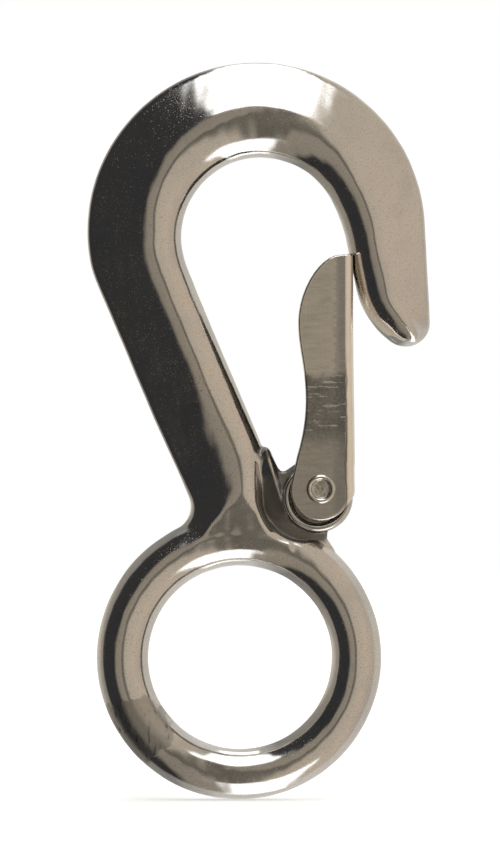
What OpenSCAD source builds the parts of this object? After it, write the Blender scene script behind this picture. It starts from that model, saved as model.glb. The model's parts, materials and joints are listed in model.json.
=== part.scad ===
// Fixed-eye snap hook: a cast hook with an eye, a sheet-metal gate on a hollow
// rivet, and a torsion spring that holds the gate shut against the nose.
// Frame: origin at the centre of the eye, +Z from the eye to the bow, +X to the
// nose side and Y through the thickness. Every outline is drawn in X and Z.

/* [Eye] */
// Inside diameter of the eye
eye_bore_d = 30; // [28:0.5:31]
// Thickness of the round bar that forms the eye
eye_bar_d = 8.4; // [7.8:0.1:8.6]
// How far the bar is turned away inside, which leaves a narrow straight land
eye_land_depth = 0.08; // [0.04:0.01:0.14]

/* [Bow and shank] */
// Thickness of the round bead that lines the throat
bead_d = 8.6; // [8:0.1:9]
// Centre of the throat, across
throat_x = 3.45; // [3:0.05:4]
// Centre of the throat, up
throat_z = 68.7; // [68:0.1:70]
// Radius of the throat
throat_r = 13; // [12.6:0.1:13.4]
// Centre of the outer edge of the bow, across
bow_x = 2.6; // [2.2:0.1:3]
// Centre of the outer edge of the bow, up
bow_z = 69.7; // [69:0.1:70.4]
// Radius of the outer edge of the bow
bow_r = 27.5; // [27:0.1:28]
// Lean of the shank away from upright
shank_tilt = 22.96; // [22:0.1:24]
// Width of the bevelled flange outside the ridge
flange_w = 8.6; // [8:0.1:9.4]
// Radius of the rounded outer edge of the flange
edge_r = 0.9; // [0.7:0.1:1.2]

/* [Nose] */
// Lean of the inner side of the nose
nose_inner_tilt = 12.6; // [12:0.1:13.4]
// Lean of the outer side of the nose
nose_outer_tilt = 3.6; // [3:0.1:4]
// Radius of the curve that runs from the inner side to the tip
nose_sweep_r = 10.7; // [10.2:0.1:11]
// Radius of the rounded tip
nose_tip_r = 3.6; // [3.2:0.1:3.8]
// Width of the flange on the nose
nose_flange_w = 6.6; // [6:0.1:7]

/* [Lug] */
// Rivet centre, across
pivot_x = 13.3; // [13:0.05:13.6]
// Rivet centre, up
pivot_z = 27.5; // [27.2:0.05:27.8]
// Radius of the round boss
boss_r = 5.6; // [5.4:0.1:5.8]
// Thickness of the boss over its raised rim
boss_t = 6.2; // [6:0.05:6.3]
// Thickness of the boss between the rims
boss_web_t = 5.4; // [5:0.1:5.6]
// Thickness of the web that joins boss, shank and eye
web_t = 4.6; // [4.2:0.1:5]
// Width of the slot in the boss that holds the spring
slot_w = 3; // [2.9:0.05:3.1]

/* [Gate] */
// Width of the folded gate over its two cheeks
gate_w = 8.8; // [8.8:0.1:9.2]
// Thickness of the gate sheet
sheet_t = 1.1; // [1:0.05:1.15]
// Outside radius of the two bends
bend_r = 1.4; // [1.2:0.1:1.6]
// Clearance between the gate and the nose that it rests against
seat_gap = 0.15; // [0.12:0.01:0.2]

/* [Rivet and spring] */
// Diameter of the rivet shank
rivet_d = 3.6; // [3.4:0.1:3.7]
// Diameter of the rivet heads
rivet_head_d = 4.7; // [4.6:0.1:5]
// Height of each head above the gate
rivet_head_h = 0.5; // [0.4:0.05:0.6]
// Diameter of the hollow in the rivet
rivet_bore_d = 2.9; // [2.6:0.1:3]
// Radial clearance between the rivet and the lug
running_fit = 0.05; // [0.04:0.01:0.06]
// Spring wire diameter
wire_d = 0.75; // [0.65:0.05:0.8]
// Mean radius of the spring coil
coil_r = 2.5; // [2.45:0.05:2.6]

/* [Hidden] */
$fn = 96;

eye_r = eye_bore_d / 2;
eye_mid_r = eye_r - eye_land_depth + eye_bar_d / 2;
bead_r = bead_d / 2;
ridge_h = bead_r - 0.05;
edge_h = edge_r - 0.05;
pivot = [pivot_x, pivot_z];
throat = [throat_x, throat_z];
bow = [bow_x, bow_z];

// The flange starts inside the bead, so that the two always join
shank_len = 46;
flange_len = 44;
flange_overlap = 2.2;
joint_lap = 0.3;
joint_inset = 0.03;
bow_end_angle = -4;
bead_end_angle = bow_end_angle - 2;

// Neck: fillet between the outer edge of the shank and the eye
neck_fillet = [-10.2, 24.2];
neck_fillet_r = 2.3;
neck_t = 3.6;

// Nose: the inner line leaves the throat circle here, and the sweep is tangent to it
nose_line_top = [17.25, 69];
nose_line_len = 10.05;
nose_sweep_start = nose_line_top + nose_line_len * [sin(nose_inner_tilt), -cos(nose_inner_tilt)];
nose_sweep = nose_sweep_start + nose_sweep_r * [cos(nose_inner_tilt), sin(nose_inner_tilt)];
nose_sweep_end = 257;
nose_sweep_turn = 100;
nose_tip = [27.4, 54.5];
nose_tip_start = 265;
nose_outer_top = bow + [bow_r - 0.1, 0];
nose_overlap = 2;
nose_len = 26;
nose_lap = 1.5;
nose_clear = 0.1;
nose_fill_t = bead_d - 0.2;

// Lug: the boss sits a little below and left of the rivet
boss = pivot - [0.5, 1.3];
rim_w = 1.2;
rim_slope = 0.3;
rim_round = 0.5;
rim_drop = 0.6;
fin_tip = [4.35, 33.7];
fin_tip_r = 0.55;
valley_depth = 6;
slot_gap = 0.45;

// Gate: the spine leans a little, and is cut away low down to clear the boss
spine_top = [18.55, 65.9];
spine_low = [18.95, 27.2];
spine_tilt = atan2(spine_low[0] - spine_top[0], spine_top[1] - spine_low[1]);
cheek = pivot - [0.05, 0.2];
cheek_r = 4.95;
channel_reach = 16;
channel_below = 8;
channel_len = 50;
spine_cut_low = 20;
spine_cut_top = 31.5;
spine_cut_w = 12;
gate_bore_gap = 0.03;

// Rivet: the heads stand just off the gate, and their edge is stepped in
rivet_half = gate_w / 2 + rivet_head_h;
rivet_bore_depth = 1.2;
rivet_head_gap = 0.02;
rivet_head_step = 0.12;
rivet_step_from = 0.6;

// Spring: a leg that bears on the lug, the coil, then a leg along the spine of the gate
lug_leg_angle = 220;
gate_leg_angle = 350;
full_turns = 2;
coil_pitch = wire_d + 0.05;
coil_sweep = gate_leg_angle - lug_leg_angle + 360 * full_turns;
coil_half = coil_pitch * coil_sweep / 720;
coil_steps = 42;
wire_sides = 8;
lug_leg_len = 4.4;
gate_leg_len = 9.1;

// Points on an arc from angle a0 to angle a1
function arc(c, r, a0, a1, n = 12) =
    [for (i = [0:n]) c + r * [cos(a0 + (a1 - a0) * i / n), sin(a0 + (a1 - a0) * i / n)]];

// Points on a smooth curve with two handles
function curve(p, q, r, s, n = 10) =
    [for (i = [0:n]) let (t = i / n, u = 1 - t)
        u * u * u * p + 3 * u * u * t * q + 3 * u * t * t * r + t * t * t * s];

// Draws an outline in X and Z, with thickness t centred on Y = 0
module flat(t) {
    rotate([90, 0, 0]) linear_extrude(height = t, center = true) children();
}

// Places a turned or straight piece on point p, with its axis along Y
module at(p) {
    translate([p[0], 0, p[1]]) rotate([90, 0, 0]) children();
}

// Places a bar so that it runs down from point p, leaning right by tilt
module down_from(p, tilt) {
    translate([p[0], 0, p[1]]) rotate([0, 180 - tilt, 0]) children();
}

// Section of the flange: thin rounded edge at 0, ridge at w, flat to w + inner.
// The inset makes it that much smaller all round, so that it can end inside another one.
module flange_section(w, inner, inset = 0, ridge_half = ridge_h) {
    ridge = ridge_half - inset;
    edge = edge_h - inset;
    polygon([
        [edge_r, -edge], [w, -ridge], [w + inner, -ridge],
        [w + inner, ridge], [w, ridge], [edge_r, edge]
    ]);
    translate([edge_r, 0]) circle(r = edge_r - inset);
}

module eye() {
    at([0, 0]) rotate_extrude() translate([eye_mid_r, 0]) circle(d = eye_bar_d);
    // Small fillet where the outer edge of the shank runs into the eye
    flat(neck_t) difference() {
        polygon([[-7.9, 24.4], [-11.3, 20.4], [-6, 18], [-4, 24]]);
        translate(neck_fillet) circle(r = neck_fillet_r);
    }
}

module bow() {
    at(throat) rotate([0, 0, bead_end_angle])
        rotate_extrude(angle = 180 + shank_tilt - bead_end_angle)
            translate([throat_r + bead_r, 0]) circle(r = bead_r);
    at(bow) rotate([0, 0, bow_end_angle])
        rotate_extrude(angle = 180 + shank_tilt - bow_end_angle)
            translate([bow_r, 0]) mirror([1, 0]) flange_section(flange_w, flange_overlap);
}

module shank() {
    bead_start = throat + (throat_r + bead_r) * [-cos(shank_tilt), -sin(shank_tilt)];
    flange_start = bow + bow_r * [-cos(shank_tilt), -sin(shank_tilt)];
    down_from(bead_start, shank_tilt) translate([0, 0, -joint_lap])
        cylinder(r = bead_r - joint_inset, h = shank_len);
    down_from(flange_start, shank_tilt) rotate([0, 0, 180]) translate([0, 0, -joint_lap])
        linear_extrude(height = flange_len) flange_section(flange_w, flange_overlap, joint_inset);
}

module nose_outline() {
    polygon(concat(
        [nose_outer_top, [nose_line_top[0] - 1, nose_line_top[1] + 1], nose_sweep_start],
        arc(nose_sweep, nose_sweep_r, 180 + nose_inner_tilt, nose_sweep_end, 10),
        arc(nose_tip, nose_tip_r, nose_tip_start, 360 + nose_outer_tilt, 10)
    ));
}

// The round bead of the nose: straight beside the gate, then swept to the tip
module nose_bead(extra) {
    down_from(nose_line_top + bead_r * [cos(nose_inner_tilt), sin(nose_inner_tilt)], nose_inner_tilt)
        translate([0, 0, -nose_lap]) cylinder(r = bead_r + extra, h = nose_line_len + nose_lap);
    at(nose_sweep) rotate([0, 0, 178 + nose_inner_tilt]) rotate_extrude(angle = nose_sweep_turn)
        translate([nose_sweep_r - bead_r, 0]) circle(r = bead_r + extra - joint_inset);
}

module nose() {
    intersection() {
        flat(bead_d + 1) nose_outline();
        union() {
            nose_bead(0);
            at(nose_sweep) cylinder(r = nose_sweep_r - bead_r, h = nose_fill_t, center = true);
            flat(nose_fill_t) polygon([
                nose_outer_top + [2, 2], [21.5, 70], nose_sweep_start + [4.3, 0.9],
                nose_tip + [-2, 0], nose_tip + [6, -6]
            ]);
        }
        down_from(nose_outer_top, nose_outer_tilt) translate([0, 0, -nose_overlap])
            linear_extrude(height = nose_len)
                flange_section(nose_flange_w, nose_len, 0, bead_r + nose_clear);
    }
}

// Web, fin and saddle between the shank, the eye and the boss
module web_outline() {
    polygon(concat(
        [[1.5, 33], fin_tip + [-0.75, 0]],
        arc(fin_tip, fin_tip_r, 150, 10, 6),
        [[6.1, 30.8]],
        arc([7, 31.2], 0.95, 205, 300, 6),
        [[9.2, 31.6], [12.8, 31.6], [17, 27], [15.2, 21.6], [14.4, 20.6], [14.4, 19.2]],
        [[15.6, 17.6], [12, 17.2], [2, 20], [-3, 21], [-3, 30]]
    ));
}

// Hollow between the shank, the eye and the boss, sunk into both faces
module valley_outline() {
    polygon(concat(
        [[4.1, 38], [3.95, 26.5]],
        arc([13.2, 26.6], 9, 185, 250, 6),
        [[13, 18.9], [15.4, 20.2], [22, 20.2], [22, 38]]
    ));
}

module lug() {
    flat(web_t) web_outline();
    at(boss) rotate_extrude() polygon([
        [0, -boss_web_t / 2], [boss_r - rim_w, -boss_web_t / 2],
        [boss_r - rim_w + rim_slope, -boss_t / 2], [boss_r - rim_round, -boss_t / 2],
        [boss_r, rim_drop - boss_t / 2], [boss_r, boss_t / 2 - rim_drop],
        [boss_r - rim_round, boss_t / 2], [boss_r - rim_w + rim_slope, boss_t / 2],
        [boss_r - rim_w, boss_web_t / 2], [0, boss_web_t / 2]
    ]);
}

// Slot for the spring: round about the rivet, open upwards and to the right
module slot_outline() {
    translate(pivot) circle(r = coil_r + wire_d / 2 + slot_gap);
    translate(pivot) polygon([[-2.37, -2], [-5.2, 1.4], [-5.2, 8], [10, 8], [10, 0]]);
}

module hook_body() {
    color("#b3ada3") difference() {
        union() {
            difference() {
                union() {
                    bow();
                    shank();
                    nose();
                    eye();
                }
                for (s = [-1, 1])
                    translate([0, s * (web_t / 2 + valley_depth / 2), 0])
                        flat(valley_depth) valley_outline();
            }
            lug();
        }
        at([0, 0]) cylinder(r = eye_r, h = eye_bar_d * 2, center = true);
        at(pivot) cylinder(d = rivet_d + 2 * running_fit, h = gate_w * 2, center = true);
        flat(slot_w) slot_outline();
    }
}

// Side view of the gate, with the spine on the right
module gate_outline() {
    polygon(concat(
        [spine_low, spine_top],
        curve([15.6, 65.6], [12.4, 64.6], [9.5, 59.5], [9.5, 54.5]),
        curve([9.5, 54.5], [9.5, 50.5], [10.65, 47.5], [10.65, 42]),
        curve([10.65, 42], [10.65, 37.5], [9.6, 34.5], [9.15, 32.2], 6),
        arc(cheek, cheek_r, 168, 358, 24)
    ));
}

// Section of the folded sheet: a U with rounded bends, spine face at X = 0
module channel_section(reach) {
    difference() {
        union() {
            translate([-reach, -gate_w / 2]) square([reach - bend_r, gate_w]);
            translate([-reach, bend_r - gate_w / 2]) square([reach, gate_w - 2 * bend_r]);
            for (s = [-1, 1]) translate([-bend_r, s * (gate_w / 2 - bend_r)]) circle(r = bend_r);
        }
        translate([-reach - 1, sheet_t - gate_w / 2])
            square([reach + 1 - sheet_t, gate_w - 2 * sheet_t]);
    }
}

module gate() {
    color("#a8a196") difference() {
        intersection() {
            flat(gate_w + 2) gate_outline();
            translate([spine_low[0], 0, spine_low[1]]) rotate([0, -spine_tilt, 0])
                translate([0, 0, -channel_below])
                    linear_extrude(height = channel_len) channel_section(channel_reach);
        }
        nose_bead(seat_gap);
        translate([pivot_x, -gate_w / 2 + sheet_t, spine_cut_low])
            cube([spine_cut_w, gate_w - 2 * sheet_t, spine_cut_top - spine_cut_low]);
        at(pivot) cylinder(d = rivet_d + 2 * gate_bore_gap, h = gate_w * 2, center = true);
    }
}

// One half of the rivet, turned: solid shank, and a head with a hollow in it
module rivet_profile() {
    head_r = rivet_head_d / 2;
    face = gate_w / 2 + rivet_head_gap;
    head_h = rivet_half - face;
    difference() {
        union() {
            translate([0, -0.1]) square([rivet_d / 2, rivet_half + 0.1]);
            translate([0, face]) square([head_r - rivet_head_step, head_h]);
            translate([0, face]) square([head_r, head_h * rivet_step_from]);
        }
        translate([-0.01, rivet_half - rivet_bore_depth])
            square([rivet_bore_d / 2 + 0.01, rivet_bore_depth + 1]);
    }
}

module rivet() {
    color("#c9c4ba") at(pivot) {
        rotate_extrude() rivet_profile();
        rotate([180, 0, 0]) rotate_extrude() rivet_profile();
    }
}

// Direction away from the rivet at angle a
function out(a) = [cos(a), 0, sin(a)];

// Direction along the wire at angle a
function along(a) = [-sin(a), 0, cos(a)];

// Centre of the wire at angle a of the coil, which climbs through the thickness
function coil_point(a) =
    [pivot_x, coil_pitch * (a - lug_leg_angle) / 360 - coil_half, pivot_z] + coil_r * out(a);

// Stations along the wire: centre and outward angle
function spring_path() = let (
        start = lug_leg_angle,
        end = lug_leg_angle + coil_sweep
    ) concat(
        [[coil_point(start) - lug_leg_len * along(start), start]],
        [for (i = [0:coil_steps]) let (a = start + coil_sweep * i / coil_steps) [coil_point(a), a]],
        [[coil_point(end) + gate_leg_len * along(end), end]]
    );

// Round wire swept along a list of stations
module swept_wire(path, d, sides) {
    last = len(path) - 1;
    points = [
        for (s = path, k = [0:sides - 1]) let (b = 360 * k / sides)
            s[0] + d / 2 * (cos(b) * out(s[1]) + sin(b) * [0, 1, 0])
    ];
    walls = [
        for (i = [0:last - 1], k = [0:sides - 1]) let (m = (k + 1) % sides)
            [i * sides + k, i * sides + m, (i + 1) * sides + m, (i + 1) * sides + k]
    ];
    first_cap = [for (k = [0:sides - 1]) sides - 1 - k];
    last_cap = [for (k = [0:sides - 1]) last * sides + k];
    polyhedron(points, concat([first_cap], walls, [last_cap]));
}

module gate_spring() {
    color("#8f8b84") swept_wire(spring_path(), wire_d, wire_sides);
}

hook_body();
gate();
rivet();
gate_spring();
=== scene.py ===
"""Fixed-eye snap hook: a polished casting, a folded sheet gate, a hollow rivet and a torsion spring.

Lengths are in millimetres while shapes are worked out, in the frame of the CAD model: X across,
Y through the thickness and Z up, from the centre of the eye. They become metres as each mesh is made.
"""

import json
import math

import bmesh
import bpy
import numpy as np
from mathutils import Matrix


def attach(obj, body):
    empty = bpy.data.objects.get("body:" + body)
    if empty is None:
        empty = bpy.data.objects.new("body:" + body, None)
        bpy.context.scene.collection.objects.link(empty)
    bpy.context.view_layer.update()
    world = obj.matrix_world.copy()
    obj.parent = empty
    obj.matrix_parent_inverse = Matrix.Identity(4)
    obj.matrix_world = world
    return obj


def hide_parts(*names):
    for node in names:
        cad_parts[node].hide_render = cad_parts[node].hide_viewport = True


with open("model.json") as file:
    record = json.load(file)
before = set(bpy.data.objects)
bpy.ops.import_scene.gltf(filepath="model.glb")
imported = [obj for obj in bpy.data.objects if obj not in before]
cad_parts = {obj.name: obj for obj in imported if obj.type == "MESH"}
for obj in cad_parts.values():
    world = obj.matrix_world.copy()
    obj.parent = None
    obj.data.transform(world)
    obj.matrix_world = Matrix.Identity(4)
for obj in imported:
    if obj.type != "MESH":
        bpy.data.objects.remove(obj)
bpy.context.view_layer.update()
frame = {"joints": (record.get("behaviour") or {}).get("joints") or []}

MM = 0.001

# Edges shorter than this, in metres, are merged away so that each mesh stays closed and clean
SHORTEST_EDGE = 1e-5

# ---------------------------------------------------------------- sizes, as in the CAD model

EYE_BAR_R = 4.12
EYE_MID_R = 19.12
EYE_OUT_R = 23.3

THROAT = (3.5, 68.7)
THROAT_R = 13.0
THROAT_SHANK = 13.18
BOW = (2.72, 69.58)
BOW_R = 27.6
BOW_SHANK = 27.27
SHANK_TILT = math.radians(22.96)
CREST_H = 4.28
EDGE_R = 1.1

NOSE_TILT = math.radians(11.8)
NOSE_TOP = (17.25, 69.0)
NOSE_SWEEP_R = 14.4
NOSE_OUTER_TILT = math.radians(2.96)
NOSE_OUTER = (30.41, 69.0)
NOSE_TIP = (27.19, 54.72)
NOSE_TIP_R = 3.95

NECK_IN = 0.25
NECK_FILLET = 4.2

VALLEY = (10.8, 25.9)
VALLEY_R = 6.9
PIVOT = tuple(v / MM for v in frame["joints"][0]["pos_m"])
BOSS = (12.8, 26.15)
BOSS_R = 5.7
WEB_H = 2.1
FIN_TIP = (4.6, 33.2)
FIN_WAY = (0.2965, -0.955)

GATE_H = 4.4
SHEET = 1.1
BEND_R = 1.4
SPINE_LOW = (18.95, 27.2)
SPINE_TOP = (18.55, 65.9)
CHEEK_R = 4.95
SEAT_GAP = 0.15

RIVET_R = 1.8
RIVET_HEAD_R = 2.37
RIVET_HALF = 4.9
SLOT_H = 1.5
WIRE_R = 0.375
COIL_R = 2.5
COIL_START = math.radians(220)
COIL_SWEEP = math.radians(850)
COIL_PITCH = 0.8
LUG_LEG = 4.4
GATE_LEG = 9.1


# ---------------------------------------------------------------- distance fields

def soft_min(a, b, k):
    """The lower of two distances, with a fillet of size k where they meet."""
    h = np.maximum(k - np.abs(a - b), 0.0) / k
    return np.minimum(a, b) - h * h * k / 4


def soft_max(a, b, k):
    """The higher of two distances, with an edge rounded to size k."""
    return -soft_min(-a, -b, k)


def fade(value, start, end):
    """0 at start, 1 at end, smooth between."""
    t = np.clip((value - start) / (end - start), 0.0, 1.0)
    return t * t * (3 - 2 * t)


def polygon(x, z, points):
    """Signed distance to a closed outline, negative inside."""
    best = np.full(np.shape(x), 1e9)
    sign = np.ones(np.shape(x))
    for (ax, az), (bx, bz) in zip(points, points[1:] + points[:1]):
        ex, ez = bx - ax, bz - az
        wx, wz = x - ax, z - az
        t = np.clip((wx * ex + wz * ez) / (ex * ex + ez * ez), 0, 1)
        best = np.minimum(best, np.hypot(wx - t * ex, wz - t * ez))
        above, below = z >= az, z < bz
        left = ex * wz > ez * wx
        flip = (above & below & left) | (~above & ~below & ~left)
        sign = np.where(flip, -sign, sign)
    return best * sign


def waves(x, y, z, size, seed):
    """Smooth irregular waves between about -1 and 1, with features of the given size."""
    rng = np.random.default_rng(seed)
    total = 0.0
    for _ in range(7):
        way = rng.normal(size=3)
        way /= np.linalg.norm(way)
        pitch = size * rng.uniform(0.7, 1.6)
        along = x * way[0] + y * way[1] + z * way[2]
        total = total + np.sin(along * 2 * math.pi / pitch + rng.uniform(0, 6.3))
    return total / 3.5


# ---------------------------------------------------------------- surfaces from distance fields

def surface(field, xs, ys, zs, passes=4):
    """Closed quad surface where field(x, y, z) is 0, sampled on a grid of xs, ys and zs."""
    f = field(xs[:, None, None], ys[None, :, None], zs[None, None, :])
    f = np.broadcast_to(f, (len(xs), len(ys), len(zs)))
    inside = f < 0
    shape = tuple(n - 1 for n in f.shape)
    axes = (xs, ys, zs)
    total = np.zeros(shape + (3,))
    count = np.zeros(shape)
    edges = []
    for axis in range(3):
        lo = [slice(None)] * 3
        hi = [slice(None)] * 3
        lo[axis], hi[axis] = slice(None, -1), slice(1, None)
        a, b = f[tuple(lo)], f[tuple(hi)]
        cross = inside[tuple(lo)] != inside[tuple(hi)]
        i = np.argwhere(cross)
        t = a[cross] / (a[cross] - b[cross])
        point = np.stack([axes[k][i[:, k]] for k in range(3)], axis=1)
        point[:, axis] += t * (axes[axis][i[:, axis] + 1] - axes[axis][i[:, axis]])
        u, v = (axis + 1) % 3, (axis + 2) % 3
        for du in (-1, 0):
            for dv in (-1, 0):
                cell = i.copy()
                cell[:, u] += du
                cell[:, v] += dv
                np.add.at(total, tuple(cell.T), point)
                np.add.at(count, tuple(cell.T), 1)
        edges.append((axis, i, inside[tuple(lo)][cross]))
    used = count > 0
    number = np.full(shape, -1)
    number[used] = np.arange(used.sum())
    points = total[used] / count[used][:, None]
    quads = []
    for axis, i, inward in edges:
        u, v = (axis + 1) % 3, (axis + 2) % 3
        ring = []
        for du, dv in ((-1, -1), (0, -1), (0, 0), (-1, 0)):
            cell = i.copy()
            cell[:, u] += du
            cell[:, v] += dv
            ring.append(number[tuple(cell.T)])
        quad = np.stack(ring, axis=1)
        quad[~inward] = quad[~inward][:, ::-1]
        quads.append(quad)
    for _ in range(passes):
        points = settle(field, points)
    return points, np.concatenate(quads)


def gradient(field, p, step=0.02):
    """Central differences of the field at each point."""
    g = np.empty_like(p)
    for k in range(3):
        d = np.zeros(3)
        d[k] = step
        hi, lo = p + d, p - d
        ahead = field(hi[:, 0], hi[:, 1], hi[:, 2])
        behind = field(lo[:, 0], lo[:, 1], lo[:, 2])
        g[:, k] = (ahead - behind) / (2 * step)
    return g


def settle(field, p, reach=0.12):
    """Moves each point towards the surface of the field, by at most reach."""
    g = gradient(field, p)
    value = field(p[:, 0], p[:, 1], p[:, 2])
    move = -value[:, None] * g / np.maximum((g * g).sum(axis=1), 0.05)[:, None]
    far = np.linalg.norm(move, axis=1, keepdims=True)
    return p + move * np.minimum(1.0, reach / np.maximum(far, 1e-9))


def grid(low, high, coarse, fine=None, band=None):
    """Grid lines from low to high, coarse apart, and fine apart within the band."""
    if band is None:
        return np.linspace(low, high, int(math.ceil((high - low) / coarse)) + 1)
    parts = [
        np.linspace(low, band[0], int(math.ceil((band[0] - low) / coarse)) + 1)[:-1],
        np.linspace(band[0], band[1], int(math.ceil((band[1] - band[0]) / fine)) + 1)[:-1],
        np.linspace(band[1], high, int(math.ceil((high - band[1]) / coarse)) + 1),
    ]
    return np.concatenate(parts)


def make_object(name, points, faces):
    """A smooth-shaded mesh object from points in millimetres and faces of one size."""
    mesh = bpy.data.meshes.new(name)
    faces = np.asarray(faces, dtype=np.int32)
    sides = faces.shape[1]
    mesh.vertices.add(len(points))
    mesh.vertices.foreach_set("co", (np.asarray(points) * MM).ravel())
    mesh.loops.add(faces.size)
    mesh.loops.foreach_set("vertex_index", faces.ravel())
    mesh.polygons.add(len(faces))
    mesh.polygons.foreach_set("loop_start", np.arange(len(faces), dtype=np.int32) * sides)
    mesh.polygons.foreach_set("use_smooth", np.ones(len(faces), dtype=bool))
    mesh.update(calc_edges=True)
    mesh.validate()
    edit = bmesh.new()
    edit.from_mesh(mesh)
    bmesh.ops.dissolve_degenerate(edit, dist=SHORTEST_EDGE, edges=edit.edges)
    edit.to_mesh(mesh)
    edit.free()
    obj = bpy.data.objects.new(name, mesh)
    bpy.context.scene.collection.objects.link(obj)
    return obj


# ---------------------------------------------------------------- the casting

def nose_sweep():
    """Where the straight of the nose ends, the centre of its sweep, and the way to the tip."""
    sin_n, cos_n = math.sin(NOSE_TILT), math.cos(NOSE_TILT)
    across = (
        NOSE_TOP[0] + NOSE_SWEEP_R * cos_n - NOSE_TIP[0],
        NOSE_TOP[1] + NOSE_SWEEP_R * sin_n - NOSE_TIP[1],
    )
    gap = NOSE_SWEEP_R - NOSE_TIP_R
    half = across[0] * sin_n - across[1] * cos_n
    run = -half - math.sqrt(half * half - across[0] ** 2 - across[1] ** 2 + gap * gap)
    start = (NOSE_TOP[0] + run * sin_n, NOSE_TOP[1] - run * cos_n)
    centre = (start[0] + NOSE_SWEEP_R * cos_n, start[1] + NOSE_SWEEP_R * sin_n)
    way = ((NOSE_TIP[0] - centre[0]) / gap, (NOSE_TIP[1] - centre[1]) / gap)
    return start, centre, way


SWEEP_START, SWEEP_CENTRE, SWEEP_END = nose_sweep()


def along_shank(x, z, centre):
    """Distance down the shank from a centre, and out to its left."""
    sin_s, cos_s = math.sin(SHANK_TILT), math.cos(SHANK_TILT)
    dx, dz = x - centre[0], z - centre[1]
    return sin_s * dx - cos_s * dz, -(cos_s * dx + sin_s * dz)


def on_nose(x, z):
    return (x > 13) & (z > 45)


def inner_distance(x, z):
    """How far a point of the hook lies from the edge that lines the throat."""
    circle = np.hypot(x - THROAT[0], z - THROAT[1]) - THROAT_R
    down, out = along_shank(x, z, THROAT)
    straight = fade(down, -3.0, 5.0)
    left = circle * (1 - straight) + (out - THROAT_SHANK) * straight
    from_valley = np.hypot(x - VALLEY[0], z - VALLEY[1]) - VALLEY_R
    hollow = np.where(z > VALLEY[1], VALLEY[0] - VALLEY_R - x, from_valley)
    left = soft_min(left, np.where(z < 38, hollow, 50.0), 0.8)
    sin_n, cos_n = math.sin(NOSE_TILT), math.cos(NOSE_TILT)
    line = (x - NOSE_TOP[0]) * cos_n + (z - NOSE_TOP[1]) * sin_n
    sweep = NOSE_SWEEP_R - np.hypot(x - SWEEP_CENTRE[0], z - SWEEP_CENTRE[1])
    past = (x - SWEEP_START[0]) * sin_n - (z - SWEEP_START[1]) * cos_n > 0
    nose = np.where(past, sweep, line)
    blend = fade(z, 74.5, 68.5)
    return np.where(on_nose(x, z), circle * (1 - blend) + nose * blend, left)


def neck_fillet():
    """Centre of the fillet where the outside of the shank runs into the eye."""
    sin_s, cos_s = math.sin(SHANK_TILT), math.cos(SHANK_TILT)
    out = BOW_SHANK - NECK_IN + NECK_FILLET - cos_s * BOW[0] - sin_s * BOW[1]
    reach = EYE_OUT_R + NECK_FILLET
    up = math.sqrt(reach * reach - out * out)
    return -out * cos_s - up * sin_s, -out * sin_s + up * cos_s


NECK = neck_fillet()


def neck_turn(x, z):
    """How far a point lies past the end of the fillet on the shank, and past its end on the eye."""
    sin_s, cos_s = math.sin(SHANK_TILT), math.cos(SHANK_TILT)
    dx, dz = x - NECK[0], z - NECK[1]
    on_shank = cos_s * dz - sin_s * dx
    on_eye = (NECK[0] * dz - NECK[1] * dx) / math.hypot(*NECK)
    return on_shank, on_eye


def outer_distance(x, z):
    """How far a point of the hook lies from its outer edge, which runs on into the eye at the neck."""
    circle = BOW_R - np.hypot(x - BOW[0], z - BOW[1])
    down, out = along_shank(x, z, BOW)
    shank = BOW_SHANK - NECK_IN * fade(z, 40.0, 28.0) - out
    left = np.where(down > 0, shank, soft_min(circle, shank, 0.33))
    on_shank, on_eye = neck_turn(x, z)
    eye = EYE_OUT_R - np.hypot(x, z)
    fillet = np.hypot(x - NECK[0], z - NECK[1]) - NECK_FILLET
    low = np.where(on_shank > 0, left, np.where(on_eye > 0, eye, fillet))
    left = np.where(z < 38, low, left)
    sin_o, cos_o = math.sin(NOSE_OUTER_TILT), math.cos(NOSE_OUTER_TILT)
    nose = (NOSE_OUTER[0] - x) * cos_o + (NOSE_OUTER[1] - z) * sin_o
    blend = fade(z, 74.0, 67.0)
    return np.where(on_nose(x, z), circle * (1 - blend) + nose * blend, left)


def tip_distance(x, z):
    """How far a point of the nose lies from its rounded tip."""
    tx, tz = x - NOSE_TIP[0], z - NOSE_TIP[1]
    end = np.hypot(tx - NOSE_TIP_R * SWEEP_END[0], tz - NOSE_TIP_R * SWEEP_END[1])
    sin_o, cos_o = math.sin(NOSE_OUTER_TILT), math.cos(NOSE_OUTER_TILT)
    rounded = (tx * sin_o - tz * cos_o > 0) & (tx * SWEEP_END[1] - tz * SWEEP_END[0] < 0)
    return np.where(on_nose(x, z), np.where(rounded, NOSE_TIP_R - np.hypot(tx, tz), end), 50.0)


# Width of the bevel round the bow, by angle in degrees from the nose side
RIDGE_ANGLES = (0, 12, 25, 47, 90, 135, 180, 203)
RIDGE_WIDTHS = (7.7, 8.3, 8.8, 8.4, 7.7, 9.0, 10.2, 9.5)


def ridge_place(x, z):
    """Distance of the ridge from the outer edge: widest on the left, less at the tip and the eye."""
    angle = np.degrees(np.arctan2(z - BOW[1], x - BOW[0]))
    angle = np.where(angle < -90, angle + 360, angle)
    round_bow = np.interp(angle, RIDGE_ANGLES, RIDGE_WIDTHS)
    down_shank = 9.4 - 6.2 * fade(z, 33, 20)
    round_bow = np.where((angle > 203) | (x < 13) & (angle < 0), down_shank, round_bow)
    down_nose = 2.2 + 4.0 * fade(z, 51.2, 59.5) + 1.5 * fade(z, 58.0, 69.7)
    return np.where(on_nose(x, z) & (z < 69.7), down_nose, round_bow)


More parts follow.
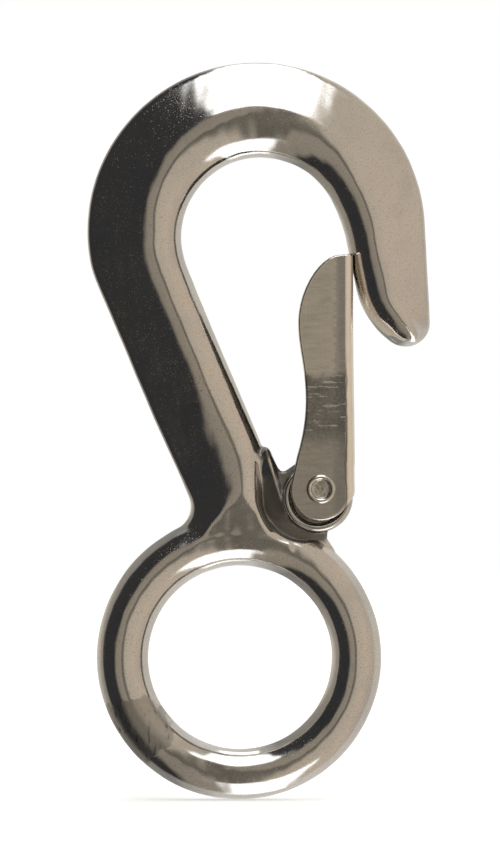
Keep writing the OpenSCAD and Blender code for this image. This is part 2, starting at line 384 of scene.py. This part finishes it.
def plan_of_hook(x, z):
    """What the section of the hook needs to know at each place in plan."""
    inner, outer, tip = inner_distance(x, z), outer_distance(x, z), tip_distance(x, z)
    ridge = ridge_place(x, z)
    left = np.where(on_nose(x, z), 0.0, 1.0)
    crest = CREST_H - 0.12 * left * fade(z, 30, 24) - 1.2 * (1 - left) * fade(z, 55.6, 50.8)
    bead = np.clip(0.95 * (inner + outer - ridge) + 0.7 * left * fade(z, 52, 38), 3.0, 6.4)
    bead = bead + (1.5 - bead) * left * fade(z, 31.5, 23.0)
    edge_r = EDGE_R + 1.7 * left * fade(z, 31, 21)
    run = np.maximum(ridge - edge_r, 0.3)
    slope = np.arccos(edge_r / np.hypot(crest, run)) - np.arctan2(run, crest)
    blend = 0.5 + 0.8 * left * fade(z, 46, 36) * fade(z, 22, 30)
    turn = fade(z, NOSE_TIP[1], NOSE_TIP[1] - 2.5)
    return inner, outer, tip, turn, bead, crest, edge_r, slope, blend


def hook_section(plan, y):
    """Round bead on the throat side, bevelled flange on the outer side, soft ridge between."""
    inner, outer, tip, turn, bead, crest, edge_r, slope, blend = plan
    high = np.abs(y)
    side = np.maximum(bead - inner, 0.0) / bead
    crown = (np.hypot(side, high / crest) - 1) * np.minimum(bead, crest)
    run = outer - edge_r
    bevel = high * np.cos(slope) - run * np.sin(slope) - edge_r
    edge = np.hypot(run, high) - edge_r
    flange = np.where(run * np.cos(slope) + high * np.sin(slope) > 0, bevel, edge)
    return soft_max(soft_max(crown, flange, blend), -tip, 0.05 + 1.5 * turn * fade(high, 0.3, 1.5))


WEB_OUTLINE = [
    (2.0, 32.2), (3.7, 33.0), (3.95, 33.9), (4.3, 34.2), (4.7, 34.1), (5.0, 33.75), (5.8, 32.0),
    (6.25, 31.0), (6.8, 30.4), (7.5, 30.45), (8.2, 30.9), (9.2, 31.6), (11.0, 32.2), (13.5, 32.2),
    (16.2, 30.0), (17.6, 27.5), (17.6, 24.0), (15.8, 21.8), (14.4, 20.9), (14.3, 19.4), (15.6, 17.4),
    (12.0, 16.6), (5.0, 18.0), (2.0, 22.0),
]


def web_height(x, z):
    """Half the thickness of the web: a fin that runs down onto the boss, sloping off to the left of it."""
    out = (x - FIN_TIP[0]) * FIN_WAY[1] - (z - FIN_TIP[1]) * FIN_WAY[0]
    down = (x - FIN_TIP[0]) * FIN_WAY[0] + (z - FIN_TIP[1]) * FIN_WAY[1]
    out = np.where(down < 9.16, out, np.hypot(x - BOSS[0], z - BOSS[1]) - 5.74)
    low = fade(z, 24.0, 20.5)
    top = 2.55 + 0.5 * fade(z, 25, 31) - 1.0 * low
    height = soft_min(top - (0.5 - 0.35 * low) * out, top + 1.3 * out, 0.5)
    height = np.where(out < -0.3, np.maximum(height, WEB_H), height)
    return np.maximum(height, 0.7)


def casting_field(x, y, z):
    """The whole casting: hook, eye, web, fin and boss, less the bore and the spring's slot."""
    high = np.abs(y)
    section = hook_section(plan_of_hook(x, z), y)
    from_eye = np.hypot(x, z)
    section = soft_max(section, 19.2 - from_eye, 0.8)
    on_shank, on_eye = neck_turn(x, z)
    past_neck = 1.6 * fade(on_eye, 0.0, 9.0) + 4.0 * fade(z, 16.0, 10.0) + 3.0 * fade(x, 8.0, 14.0)
    section = section + np.where(z < 26, past_neck, 0.0)
    bar = EYE_BAR_R - 0.09 * x / np.maximum(from_eye, 1.0)
    eye = np.hypot(from_eye - EYE_MID_R, y) - bar
    solid = soft_min(section, eye, 0.3)
    floor = web_height(x, z)
    hollow = soft_max(np.hypot(x - VALLEY[0], z - VALLEY[1]) - VALLEY_R, floor - high, 0.3)
    solid = soft_max(solid, -hollow, 0.6)
    web = soft_max(polygon(x, z, WEB_OUTLINE), (high - floor) * 0.86, 0.5)
    solid = soft_min(solid, web, 0.3 + 0.9 * fade(z, 30.5, 33.0))
    from_boss = np.hypot(x - BOSS[0], z - BOSS[1])
    drum = soft_max(from_boss - BOSS_R, high - 2.55, 0.5)
    rim = np.hypot(from_boss - (BOSS_R - 0.66), high - 2.5) - 0.62
    solid = soft_min(solid, soft_min(drum, rim, 0.12), 0.35)
    bore = np.hypot(x - PIVOT[0], z - PIVOT[2]) - RIVET_R - 0.05
    solid = soft_max(solid, -bore, 0.1)
    slot = soft_min(np.hypot(x - PIVOT[0], z - PIVOT[2]) - 3.33, slot_plan(x, z), 0.05)
    solid = soft_max(solid, -soft_max(slot, high - SLOT_H, 0.1), 0.15)
    return solid + 0.028 * waves(x, y, z, 7.0, 3) + 0.011 * waves(x, y, z, 2.6, 5)


def slot_plan(x, z):
    """Outline of the slot beyond the coil, open upwards and to the right."""
    px, pz = PIVOT[0], PIVOT[2]
    return polygon(x, z, [
        (px - 2.37, pz - 2.0), (px + 10, pz), (px + 10, pz + 8), (px - 5.2, pz + 8), (px - 5.2, pz + 1.4),
    ])


def make_casting():
    coarse, fine = 0.43, 0.21
    xs = grid(-26.0, 32.4, coarse, fine, (2.6, 19.4))
    zs = grid(-24.4, 98.2, coarse, fine, (18.6, 35.6))
    ys = grid(-5.0, 5.0, 0.36)
    return make_object("hook_casting", *surface(casting_field, xs, ys, zs))


# ---------------------------------------------------------------- the gate

def bezier(p, q, r, s, count):
    """Points on a smooth curve from p to s with handles q and r, without its last point."""
    out = []
    for i in range(count):
        t = i / count
        u = 1 - t
        out.append(tuple(u ** 3 * a + 3 * u * u * t * b + 3 * u * t * t * c + t ** 3 * d
                         for a, b, c, d in zip(p, q, r, s)))
    return out


def gate_outline():
    """Side view of the gate: bulging blade, waist, round cheek, straight spine."""
    points = [SPINE_LOW, (SPINE_TOP[0] + 0.1, SPINE_TOP[1] - 0.4), (SPINE_TOP[0] - 0.35, SPINE_TOP[1])]
    points += bezier((15.6, 65.6), (12.4, 64.6), (9.6, 59.5), (9.6, 54.8), 10)
    points += bezier((9.6, 54.8), (9.6, 50.5), (10.87, 47.5), (10.87, 42.0), 10)
    points += bezier((10.87, 42.0), (10.87, 37.5), (9.85, 34.5), (9.2, 32.0), 8)
    cx, cz = PIVOT[0] - 0.05, PIVOT[2] - 0.2
    for i in range(21):
        a = math.radians(166 + (330 - 166) * i / 20)
        points.append((cx + CHEEK_R * math.cos(a), cz + CHEEK_R * math.sin(a)))
    return points + bezier(points[-1], (18.1, 25.8), (18.95, 26.4), SPINE_LOW, 6)[1:-1]


GATE_OUTLINE = gate_outline()


def gate_field(x, y, z):
    """Sheet folded to a U, trimmed to the side view, with the seat for the nose cut in its end."""
    high = np.abs(y)
    lean = math.atan2(SPINE_LOW[0] - SPINE_TOP[0], SPINE_TOP[1] - SPINE_LOW[1])
    across = (x - SPINE_LOW[0]) * math.cos(lean) + (z - SPINE_LOW[1]) * math.sin(lean)
    across = across + 0.12 * np.exp(-((z - 50.0) / 9.0) ** 2)
    dish = 0.03 * np.exp(-((across + 2.2) / 0.9) ** 2) * fade(z, 30, 36)
    face = high - GATE_H + dish
    corner_x, corner_y = across + BEND_R, face + BEND_R
    outer = np.hypot(np.maximum(corner_x, 0), np.maximum(corner_y, 0)) - BEND_R
    outer = outer + np.minimum(np.maximum(corner_x, corner_y), 0)
    sheet = np.abs(outer + SHEET / 2) - SHEET / 2
    solid = soft_max(sheet, polygon(x, z, GATE_OUTLINE), 0.35)
    sin_n, cos_n = math.sin(NOSE_TILT), math.cos(NOSE_TILT)
    from_line = (x - NOSE_TOP[0]) * cos_n + (z - NOSE_TOP[1]) * sin_n - CREST_H
    seat = np.hypot(from_line, y) - CREST_H - SEAT_GAP
    solid = soft_max(solid, -seat, 0.12)
    low_cut = soft_max(soft_max(high - GATE_H + SHEET, z - 31.5, 0.4), PIVOT[0] - x, 0.3)
    solid = soft_max(solid, -low_cut, 0.15)
    bore = np.hypot(x - PIVOT[0], z - PIVOT[2]) - RIVET_R - 0.02
    solid = soft_max(solid, -bore, 0.1)
    return solid + 0.010 * waves(x, y, z, 6.0, 11)


def make_gate():
    xs = grid(7.8, 19.6, 0.2)
    ys = grid(-4.7, 4.7, 0.2)
    zs = grid(21.8, 66.6, 0.24)
    return make_object("gate_sheet", *surface(gate_field, xs, ys, zs))


# ---------------------------------------------------------------- the rivet and the spring

def lathe(name, centre, profile, steps=72):
    """Turns a profile of (radius, Y) pairs about the Y axis through centre, closed at both ends."""
    profile = np.asarray(profile)
    angles = np.linspace(0, 2 * math.pi, steps, endpoint=False)
    points = []
    for r, y in profile:
        points.append(np.stack([
            centre[0] + r * np.cos(angles), np.full(steps, y), centre[1] + r * np.sin(angles)], axis=1))
    points = np.concatenate(points + [[[centre[0], profile[0][1], centre[1]]],
                                      [[centre[0], profile[-1][1], centre[1]]]])
    faces = []
    rings = len(profile)
    for i in range(rings - 1):
        for k in range(steps):
            m = (k + 1) % steps
            faces.append((i * steps + k, (i + 1) * steps + k, (i + 1) * steps + m, i * steps + m))
    caps = []
    for k in range(steps):
        m = (k + 1) % steps
        caps.append((rings * steps, k, m))
        caps.append((rings * steps + 1, (rings - 1) * steps + m, (rings - 1) * steps + k))
    mesh = bpy.data.meshes.new(name)
    mesh.from_pydata([tuple(p * MM) for p in points], [], faces + caps)
    mesh.validate()
    mesh.shade_smooth()
    obj = bpy.data.objects.new(name, mesh)
    bpy.context.scene.collection.objects.link(obj)
    return obj


def arc(cx, cy, r, start, end, count):
    """Points on an arc of a profile, angles in degrees."""
    out = []
    for i in range(count + 1):
        a = math.radians(start + (end - start) * i / count)
        out.append((cx + r * math.cos(a), cy + r * math.sin(a)))
    return out


def rivet_end():
    """Half of the rivet's section, from the middle of the hollow out over the rolled rim."""
    lip = (RIVET_HEAD_R + 1.5) / 2
    roll = RIVET_HEAD_R - lip
    floor = RIVET_HALF - 0.62
    section = [(0.35, floor + 0.02), (0.9, floor), (1.25, floor + 0.03)]
    section += arc(1.28, floor + 0.2, 0.16, -80, 0, 4)
    section += arc(lip, RIVET_HALF - roll, roll, 175, 0, 14)
    section += [(RIVET_HEAD_R - 0.03, GATE_H + 0.12), (RIVET_HEAD_R - 0.16, GATE_H + 0.02)]
    section += [(RIVET_R, GATE_H + 0.02), (RIVET_R, 3.0), (RIVET_R, 1.5)]
    return section


def make_rivet():
    end = rivet_end()
    front = [(r, -y) for r, y in end]
    back = list(reversed(end))
    return lathe("rivet_turned", (PIVOT[0], PIVOT[2]), front + back)


def make_spring():
    """Round wire: a leg to the lug, the coil about the rivet, and a leg up the spine of the gate."""
    half = COIL_PITCH * COIL_SWEEP / (4 * math.pi)
    stations = []

    def station(a, reach):
        out = np.array([math.cos(a), 0, math.sin(a)])
        along = np.array([-math.sin(a), 0, math.cos(a)])
        y = COIL_PITCH * (a - COIL_START) / (2 * math.pi) - half
        centre = np.array([PIVOT[0], y, PIVOT[2]]) + COIL_R * out + reach * along
        stations.append((centre, out))

    for i in range(6):
        station(COIL_START, -LUG_LEG * (1 - i / 6))
    for i in range(121):
        station(COIL_START + COIL_SWEEP * i / 120, 0)
    for i in range(10):
        station(COIL_START + COIL_SWEEP, GATE_LEG * (i + 1) / 10)
    sides = 14
    points, faces = [], []
    for n, (centre, out) in enumerate(stations):
        for k in range(sides):
            b = 2 * math.pi * k / sides
            points.append((centre + WIRE_R * (math.cos(b) * out + math.sin(b) * np.array([0, 1, 0]))) * MM)
        if n:
            for k in range(sides):
                m = (k + 1) % sides
                a0, a1 = (n - 1) * sides, n * sides
                faces.append((a0 + k, a0 + m, a1 + m, a1 + k))
    faces.append(tuple(reversed(range(sides))))
    faces.append(tuple((len(stations) - 1) * sides + k for k in range(sides)))
    mesh = bpy.data.meshes.new("spring_wire")
    mesh.from_pydata([tuple(p) for p in points], [], faces)
    mesh.validate()
    mesh.shade_smooth()
    obj = bpy.data.objects.new("spring_wire", mesh)
    bpy.context.scene.collection.objects.link(obj)
    return obj


# ---------------------------------------------------------------- materials

class Nodes:
    """Short ways to add shader nodes to one node tree."""

    def __init__(self, tree):
        self.nodes, self.links = tree.nodes, tree.links

    def add(self, kind, **inputs):
        node = self.nodes.new(kind)
        for name, value in inputs.items():
            self.join(value, node.inputs[name.replace("_", " ")])
        return node

    def join(self, value, socket):
        if isinstance(value, bpy.types.NodeSocket):
            self.links.new(value, socket)
        else:
            socket.default_value = value

    def calc(self, kind, *values):
        node = self.nodes.new("ShaderNodeMath")
        node.operation = kind
        for socket, value in zip(node.inputs, values):
            self.join(value, socket)
        return node.outputs[0]

    def length(self, a, b):
        """Length of the slope whose sides are a and b."""
        squares = self.calc("ADD", self.calc("MULTIPLY", a, a), self.calc("MULTIPLY", b, b))
        return self.calc("SQRT", squares)

    def step(self, value, start, end):
        """0 at start, 1 at end, smooth between."""
        node = self.add("ShaderNodeMapRange", Value=value, From_Min=start, From_Max=end)
        node.interpolation_type = "SMOOTHSTEP"
        return node.outputs["Result"]

    def noise(self, place, scale, detail=3.0):
        return self.add("ShaderNodeTexNoise", Vector=place, Scale=scale, Detail=detail).outputs["Fac"]

    def vector(self, x, y, z):
        return self.add("ShaderNodeCombineXYZ", X=x, Y=y, Z=z).outputs[0]

    def paint(self, under, mask, over, blend="MIX"):
        """Lays one colour over another where the mask is 1."""
        node = self.nodes.new("ShaderNodeMix")
        node.data_type = "RGBA"
        node.blend_type = blend
        self.join(mask, node.inputs[0])
        for colour, socket in ((under, node.inputs[6]), (over, node.inputs[7])):
            if not isinstance(colour, bpy.types.NodeSocket):
                colour = tuple(colour) + (1,)
            self.join(colour, socket)
        return node.outputs[2]

    def ramp(self, value, stops):
        node = self.add("ShaderNodeValToRGB", Fac=value)
        band = node.color_ramp
        band.elements[0].position, band.elements[0].color = stops[0][0], tuple(stops[0][1]) + (1,)
        band.elements[1].position, band.elements[1].color = stops[-1][0], tuple(stops[-1][1]) + (1,)
        for place, shade in stops[1:-1]:
            band.elements.new(place).color = tuple(shade) + (1,)
        return node.outputs["Color"]

    def bump(self, height, depth, under=None):
        """Surface relief; depth is in metres for a height of 1."""
        node = self.add("ShaderNodeBump", Height=height, Distance=depth, Strength=1.0)
        if under:
            self.links.new(under, node.inputs["Normal"])
        return node.outputs["Normal"]


def new_metal(name):
    """An all-metal material, its nodes and shader, and the place on the piece, whole and by axis."""
    mat = bpy.data.materials.new(name)
    mat.use_nodes = True
    tree = Nodes(mat.node_tree)
    shader = mat.node_tree.nodes["Principled BSDF"]
    shader.inputs["Metallic"].default_value = 1.0
    place = tree.add("ShaderNodeTexCoord").outputs["Object"]
    split = tree.add("ShaderNodeSeparateXYZ", Vector=place)
    return mat, tree, shader, place, (split.outputs[0], split.outputs[1], split.outputs[2])


def polish_lines(tree, place, axes):
    """Fine lines left by polishing: round the eye, round the bow, and down the shank."""
    x, y, z = axes

    def round_lines(cx, cz):
        dx, dz = tree.calc("SUBTRACT", x, cx), tree.calc("SUBTRACT", z, cz)
        radius = tree.length(dx, dz)
        turn = tree.calc("MULTIPLY", tree.calc("ARCTAN2", dz, dx), 0.0022)
        return tree.noise(tree.vector(radius, y, turn), 1900.0, 4.0)

    turned = tree.add("ShaderNodeMapping", Vector=place)
    turned.inputs["Rotation"].default_value = (0, -SHANK_TILT, 0)
    turned.inputs["Scale"].default_value = (1, 1, 0.1)
    shank = tree.noise(turned.outputs[0], 1900.0, 4.0)
    eye = round_lines(0.0, 0.0)
    bow = round_lines(BOW[0] * MM, BOW[1] * MM)
    upper = tree.paint(shank, tree.step(z, 0.058, 0.064), bow)
    return tree.paint(eye, tree.step(z, 0.019, 0.025), upper)


def ground_patch(tree, place, axes):
    """The dull, scratched place on the eye where the casting's gate was ground off."""
    dx = tree.calc("MULTIPLY_ADD", axes[0], 190.0, 17.3 * 0.19)
    dz = tree.calc("MULTIPLY_ADD", axes[2], 230.0, 11.9 * 0.23)
    away = tree.length(dx, dz)
    ragged = tree.calc("MULTIPLY_ADD", tree.noise(place, 420.0), 0.9, away)
    return tree.step(ragged, 1.78, 1.60)


def distance_from(tree, axes, centre):
    """Distance in X and Z from a centre given in millimetres."""
    dx = tree.calc("SUBTRACT", axes[0], centre[0] * MM)
    dz = tree.calc("SUBTRACT", axes[2], centre[1] * MM)
    return tree.length(dx, dz)


def hollow_shade_and_dull(tree, place, axes):
    """Painted shade in the hollow between shank, eye and boss, on the sunken face of the boss inside its
    rim and at the root of the fin; the same mask makes these places rougher, as polishing doesn't reach
    them.
    """
    hollow = tree.step(distance_from(tree, axes, VALLEY), 0.0080, 0.0070)
    root = tree.step(distance_from(tree, axes, (FIN_TIP[0] - 0.6, FIN_TIP[1] + 0.2)), 0.0015, 0.0008)
    deep = tree.calc("MULTIPLY_ADD", tree.noise(place, 700.0), 0.0012, tree.calc("ABSOLUTE", axes[1]))
    hollow = tree.calc("MULTIPLY", hollow, tree.step(deep, 0.0038, 0.0026))
    under = tree.step(distance_from(tree, axes, BOSS), 0.0051, 0.0048)
    under = tree.calc("MULTIPLY", under, tree.step(deep, 0.0035, 0.0030))
    return tree.calc("MAXIMUM", tree.calc("MAXIMUM", hollow, root), under)


def cast_steel():
    """Polished cast stainless: crisp reflections broken by pits, polish lines and a ground patch."""
    mat, tree, shader, place, axes = new_metal("cast_steel")
    cloud = tree.noise(place, 130.0, 4.0)
    patch = ground_patch(tree, place, axes)
    sparse = tree.calc("MULTIPLY_ADD", cloud, 0.30, tree.noise(place, 4600.0, 1.0))
    pits = tree.step(sparse, 0.84, 0.92)
    lines = polish_lines(tree, place, axes)
    scratched = tree.add("ShaderNodeMapping", Vector=place)
    scratched.inputs["Rotation"].default_value = (0, math.radians(38), 0)
    scratched.inputs["Scale"].default_value = (1, 1, 0.12)
    scratches = tree.calc("MULTIPLY", tree.noise(scratched.outputs[0], 1500.0, 3.0), patch)
    shade_and_dull = hollow_shade_and_dull(tree, place, axes)
    grain = tree.step(tree.noise(place, 5200.0, 2.0), 0.54, 0.66)

    tint = tree.ramp(cloud, (
        (0.3, (0.57, 0.555, 0.53)), (0.5, (0.64, 0.62, 0.59)), (0.7, (0.66, 0.625, 0.575)),
    ))
    tint = tree.paint(tint, tree.calc("MULTIPLY", grain, 0.34), (0.26, 0.25, 0.23))
    tint = tree.paint(tint, tree.calc("MULTIPLY", pits, 0.55), (0.14, 0.13, 0.12))
    tint = tree.paint(tint, tree.calc("MULTIPLY", patch, 0.55), (0.25, 0.245, 0.225))
    scored = tree.calc("MULTIPLY", tree.step(scratches, 0.56, 0.70), 0.8)
    tint = tree.paint(tint, scored, (0.10, 0.10, 0.095))
    # Painted shade: darker colour in the hollow, on the boss face inside its rim and at the root of the
    # fin.
    tint = tree.paint(tint, tree.calc("MULTIPLY", shade_and_dull, 0.75), (0.12, 0.11, 0.10))
    tree.join(tint, shader.inputs["Base Color"])

    rough = tree.calc("MULTIPLY_ADD", tree.noise(place, 210.0, 5.0), 0.14, 0.045)
    rough = tree.calc("MULTIPLY_ADD", patch, 0.20, rough)
    rough = tree.calc("MULTIPLY_ADD", shade_and_dull, 0.34, rough)
    tree.join(tree.calc("MULTIPLY_ADD", pits, 0.25, rough), shader.inputs["Roughness"])

    relief = tree.bump(tree.calc("MULTIPLY_ADD", tree.noise(place, 2400.0, 2.0), 0.35, lines), 0.0000042)
    relief = tree.bump(scratches, 0.00004, relief)
    tree.join(tree.bump(tree.calc("MULTIPLY", pits, -1.0), 0.000007, relief), shader.inputs["Normal"])
    return mat


def sheet_steel():
    """Folded sheet: rolled grain, painted shade in a strip beside the fold, in a thin line down the bend
    and inside the channel, darker below the waist, and a painted dark band across the waist, mottled and
    with light scratches.
    """
    mat, tree, shader, place, axes = new_metal("sheet_steel")
    x, y, z = axes
    cloud = tree.noise(place, 260.0, 5.0)
    mottle = tree.noise(place, 2300.0, 3.0)
    streaks = tree.noise(tree.vector(tree.calc("MULTIPLY", x, 0.14), y, z), 2400.0, 3.0)
    rolled = tree.noise(tree.vector(x, y, tree.calc("MULTIPLY", z, 0.12)), 2300.0, 3.0)

    # Painted shade: a dark band across the waist stands in for the darker reflection there; it also makes
    # the sheet rougher.
    ragged_z = tree.calc("MULTIPLY_ADD", cloud, 0.005, z)
    waist_shade = tree.calc("MULTIPLY", tree.step(ragged_z, 0.0496, 0.0478), tree.step(ragged_z, 0.0350, 0.0405))
    flat = tree.step(x, 0.01735, 0.01715)
    waist_shade = tree.calc("MULTIPLY", waist_shade, flat)
    waist_shade_mottle = tree.calc("MULTIPLY", waist_shade, tree.step(tree.calc("ADD", mottle, cloud), 1.15, 0.85))
    scratch = tree.calc("MULTIPLY", waist_shade, tree.step(streaks, 0.56, 0.66))
    # Painted shade: a darker strip beside the fold, where the bend begins.
    ragged_x = tree.calc("MULTIPLY_ADD", streaks, 0.0022, x)
    fold = tree.calc("MULTIPLY", tree.step(ragged_x, 0.0161, 0.0171), flat)
    below = tree.calc("MULTIPLY", tree.step(z, 0.0470, 0.0400), flat)
    # Painted shade: a thin dark wavy line down the start of the bend, in its lower part, in place of the
    # shading of a groove.
    dented_x = tree.calc("MULTIPLY_ADD", cloud, 0.0012, x)
    crease_shade = tree.step(dented_x, 0.01770, 0.01790)
    crease_shade = tree.calc("MULTIPLY", crease_shade, tree.step(dented_x, 0.01822, 0.01802))
    crease_shade = tree.calc("MULTIPLY", crease_shade, tree.step(z, 0.0500, 0.0450))

    tint = tree.ramp(cloud, (
        (0.3, (0.82, 0.78, 0.70)), (0.55, (0.88, 0.83, 0.75)), (0.75, (0.84, 0.80, 0.73)),
    ))
    tint = tree.paint(tint, tree.calc("MULTIPLY", fold, 0.55), (0.36, 0.37, 0.37))
    tint = tree.paint(tint, tree.calc("MULTIPLY", below, 0.5), (0.40, 0.39, 0.36))
    # Painted shade across the waist, mottled darker in places.
    tint = tree.paint(tint, tree.calc("MULTIPLY", waist_shade, 0.72), (0.21, 0.21, 0.20))
    tint = tree.paint(tint, tree.calc("MULTIPLY", waist_shade_mottle, 0.40), (0.11, 0.11, 0.10))
    tint = tree.paint(tint, tree.calc("MULTIPLY", scratch, 0.60), (0.74, 0.73, 0.69))
    # Painted shade line down the bend.
    tint = tree.paint(tint, tree.calc("MULTIPLY", crease_shade, 0.65), (0.15, 0.15, 0.14))
    # Painted shade: the faces inside the channel are darker; they are also rougher.
    inside = tree.step(tree.calc("ABSOLUTE", y), 0.00350, 0.00338)
    inside = tree.calc("MULTIPLY", inside, tree.step(x, 0.01805, 0.01795))
    tint = tree.paint(tint, tree.calc("MULTIPLY", inside, 0.8), (0.34, 0.32, 0.29))
    rough = tree.calc("MULTIPLY_ADD", waist_shade, 0.12, tree.calc("MULTIPLY_ADD", streaks, 0.18, 0.16))
    rough = tree.calc("MULTIPLY_ADD", inside, 0.35, rough)
    tree.join(tint, shader.inputs["Base Color"])
    tree.join(rough, shader.inputs["Roughness"])
    relief = tree.bump(rolled, 0.000006)
    tree.join(tree.bump(scratch, 0.000016, relief), shader.inputs["Normal"])
    return mat


def rivet_steel():
    """Bright turned steel, darker, rougher and dented in the hollow of each end."""
    mat, tree, shader, place, axes = new_metal("rivet_steel")
    radius = distance_from(tree, axes, (PIVOT[0], PIVOT[2]))
    rings = tree.noise(tree.vector(radius, 0.0, 0.0), 9000.0, 3.0)
    hollow = tree.step(radius, 0.0016, 0.0013)
    dents = tree.noise(place, 1300.0, 3.0)
    tint = tree.ramp(dents, ((0.35, (0.50, 0.48, 0.44)), (0.6, (0.70, 0.67, 0.61))))
    tint = tree.paint(tint, tree.calc("MULTIPLY", hollow, 0.5), (0.40, 0.38, 0.34))
    rough = tree.calc("MULTIPLY_ADD", dents, 0.12, 0.08)
    rough = tree.calc("MULTIPLY_ADD", hollow, 0.16, rough)
    tree.join(tint, shader.inputs["Base Color"])
    tree.join(rough, shader.inputs["Roughness"])
    relief = tree.bump(rings, 0.000004)
    tree.join(tree.bump(tree.calc("MULTIPLY", dents, hollow), 0.00022, relief), shader.inputs["Normal"])
    return mat


def spring_steel():
    """Drawn wire: darker, with lines along its length and a little brown stain."""
    mat, tree, shader, place, _ = new_metal("spring_steel")
    stain = tree.noise(place, 500.0, 4.0)
    drawn = tree.noise(place, 5200.0, 2.0)
    tint = tree.ramp(stain, (
        (0.35, (0.46, 0.44, 0.41)), (0.55, (0.52, 0.49, 0.45)), (0.72, (0.40, 0.33, 0.27)),
    ))
    tree.join(tint, shader.inputs["Base Color"])
    tree.join(tree.calc("MULTIPLY_ADD", drawn, 0.15, 0.16), shader.inputs["Roughness"])
    tree.join(tree.bump(drawn, 0.000006), shader.inputs["Normal"])
    return mat


def floor_white():
    """Plain white floor, lit enough to meet the backdrop without an edge."""
    mat = bpy.data.materials.new("floor_white")
    mat.use_nodes = True
    shader = mat.node_tree.nodes["Principled BSDF"]
    shader.inputs["Base Color"].default_value = (0.9, 0.9, 0.9, 1)
    shader.inputs["Roughness"].default_value = 0.8
    shader.inputs["Emission Color"].default_value = (1, 1, 1, 1)
    shader.inputs["Emission Strength"].default_value = 0.45
    return mat


# ---------------------------------------------------------------- build

def dress(obj, material, body, slot, *nodes):
    obj.data.materials.append(material)
    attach(obj, body)
    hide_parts(*nodes)


dress(make_casting(), cast_steel(), "hook", "cast_steel", "hook_body")
dress(make_gate(), sheet_steel(), "gate", "sheet_steel", "gate")
dress(make_rivet(), rivet_steel(), "gate", "rivet_steel", "rivet")
dress(make_spring(), spring_steel(), "hook", "spring_steel", "gate_spring")


# ---------------------------------------------------------------- studio

def make_floor():
    bpy.ops.mesh.primitive_plane_add(size=3.0, location=(0, 0.4, -23.32 * MM))
    floor = bpy.context.object
    floor.name = "floor"
    floor.data.materials.append(floor_white())
    floor.visible_glossy = False


def make_world():
    """A studio by direction: strip light above, reflector below, black flag left, warm wall right."""
    world = bpy.data.worlds.new("studio")
    bpy.context.scene.world = world
    world.use_nodes = True
    world.node_tree.nodes.clear()
    tree = Nodes(world.node_tree)
    split = tree.add("ShaderNodeSeparateXYZ", Vector=tree.add("ShaderNodeTexCoord").outputs["Generated"])
    spread = tree.calc("SQRT", tree.calc("MULTIPLY_ADD", split.outputs["Y"], -1.9999, 2.0))
    u = tree.calc("DIVIDE", split.outputs["X"], spread)
    w = tree.calc("DIVIDE", split.outputs["Z"], spread)
    far = tree.length(u, w)

    def between(value, low, high, soft):
        rise = tree.step(value, low - soft, low + soft)
        return tree.calc("MULTIPLY", rise, tree.step(value, high + soft, high - soft))

    def panel(u_low, u_high, w_low, w_high, soft):
        wide = between(u, u_low, u_high, soft)
        return tree.calc("MULTIPLY", wide, between(w, w_low, w_high, soft))

    across = tree.calc("MULTIPLY_ADD", u, 0.5, 0.5)
    leaning = tree.calc("MULTIPLY_ADD", tree.calc("MAXIMUM", w, 0.0), -0.16, across)
    front = tree.ramp(leaning, [
        (0.0, (0.05, 0.05, 0.052)), (0.352, (0.042, 0.042, 0.044)), (0.385, (0.36, 0.32, 0.265)),
        (0.47, (0.40, 0.355, 0.295)), (0.485, (0.17, 0.155, 0.13)), (0.51, (0.20, 0.18, 0.15)),
        (0.535, (0.62, 0.55, 0.46)), (0.70, (0.72, 0.61, 0.50)), (0.85, (0.62, 0.54, 0.46)),
        (1.0, (0.8, 0.72, 0.62)),
    ])
    back = tree.ramp(across, [
        (0.03, (0.76, 0.70, 0.62)), (0.10, (0.41, 0.38, 0.34)), (0.30, (0.32, 0.31, 0.30)),
        (0.45, (0.8, 0.78, 0.74)), (0.7, (0.85, 0.82, 0.78)), (0.95, (0.72, 0.68, 0.62)),
    ])
    room = tree.paint(front, tree.step(far, 0.71, 0.79), back)
    room = tree.paint(room, panel(-0.165, 0.19, 0.34, 0.86, 0.02), (2.3, 2.3, 2.3))
    room = tree.paint(room, panel(-0.05, 0.28, -0.80, -0.37, 0.03), (2.2, 2.2, 2.2))

    studio = tree.add("ShaderNodeBackground", Color=room)
    backdrop = tree.add("ShaderNodeBackground", Color=(1, 1, 1, 1))
    mix = tree.add("ShaderNodeMixShader", Fac=tree.add("ShaderNodeLightPath").outputs["Is Camera Ray"])
    out = tree.add("ShaderNodeOutputWorld")
    tree.join(studio.outputs[0], mix.inputs[1])
    tree.join(backdrop.outputs[0], mix.inputs[2])
    tree.join(mix.outputs[0], out.inputs[0])


def make_camera():
    """Long lens square to the front; the frame holds 138.5 mm of height."""
    distance, view_height = 1.25, 138.5 * MM
    camera = bpy.data.cameras.new("camera")
    camera.sensor_width = 36.0
    camera.lens = camera.sensor_width * distance / view_height
    camera.clip_end = 50
    obj = bpy.data.objects.new("camera", camera)
    obj.location = (1.72 * MM, -distance, 38.2 * MM)
    obj.rotation_euler = (math.radians(90), 0, 0)
    bpy.context.scene.collection.objects.link(obj)
    bpy.context.scene.camera = obj


make_floor()
make_world()
make_camera()
bpy.context.scene.view_settings.view_transform = "Standard"
